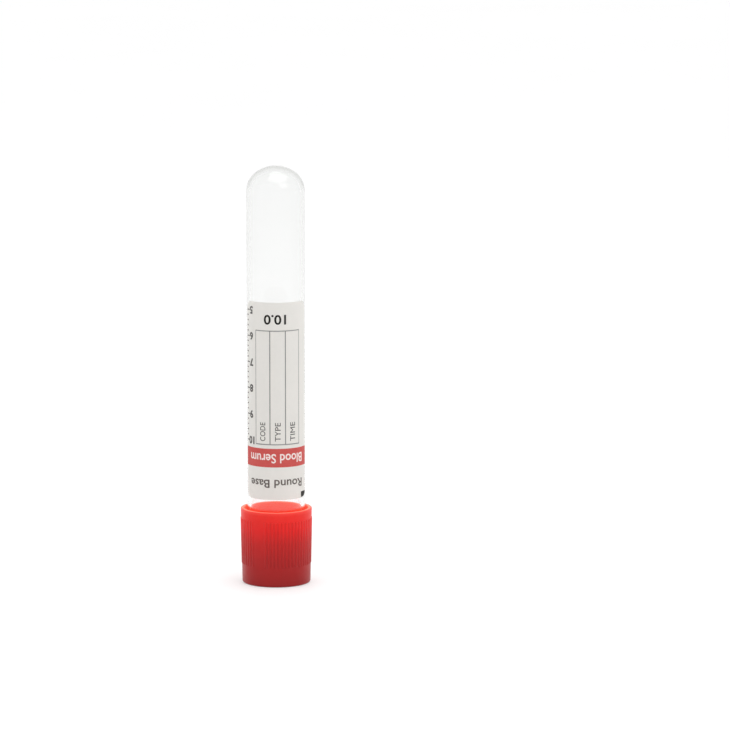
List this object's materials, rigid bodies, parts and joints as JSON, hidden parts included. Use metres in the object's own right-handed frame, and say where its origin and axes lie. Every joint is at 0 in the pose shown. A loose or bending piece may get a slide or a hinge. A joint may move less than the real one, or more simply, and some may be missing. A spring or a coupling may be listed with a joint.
{
  "type": "blood collection tube",
  "caption": "Clear round-bottom sample tube with a printed front label, standing on a ribbed translucent red cap whose rubber stopper plugs the mouth of the tube.",
  "frame": {"origin": "centre of the cap's closed end face, on the surface that the object stands on", "axes": "+Z along the tube's axis, from the cap up to the round bottom; the label faces -Y"},
  "size_m": [0.0192, 0.0192, 0.112],
  "materials": {
    "tube_glass": "clear, polished",
    "label_paper": "smooth coated paper",
    "red_print": "matt print",
    "grey_print": "matt print",
    "black_print": "matt print",
    "cap_plastic": "translucent, satin gloss",
    "stopper_rubber": "matt"
  },
  "bodies": {
    "closure": {"cap": "cap_plastic", "stopper": "stopper_rubber"},
    "tube": {"tube": "tube_glass", "label": "label_paper", "label_red_band": "red_print", "label_form_lines": "grey_print", "label_black_mark": "black_print"}
  },
  "joints": [
    {"name": "tube_pull", "type": "slide", "parent": "closure", "child": "tube", "axis": [0, 0, 1], "range_m": [0, 0.04]}
  ]
}
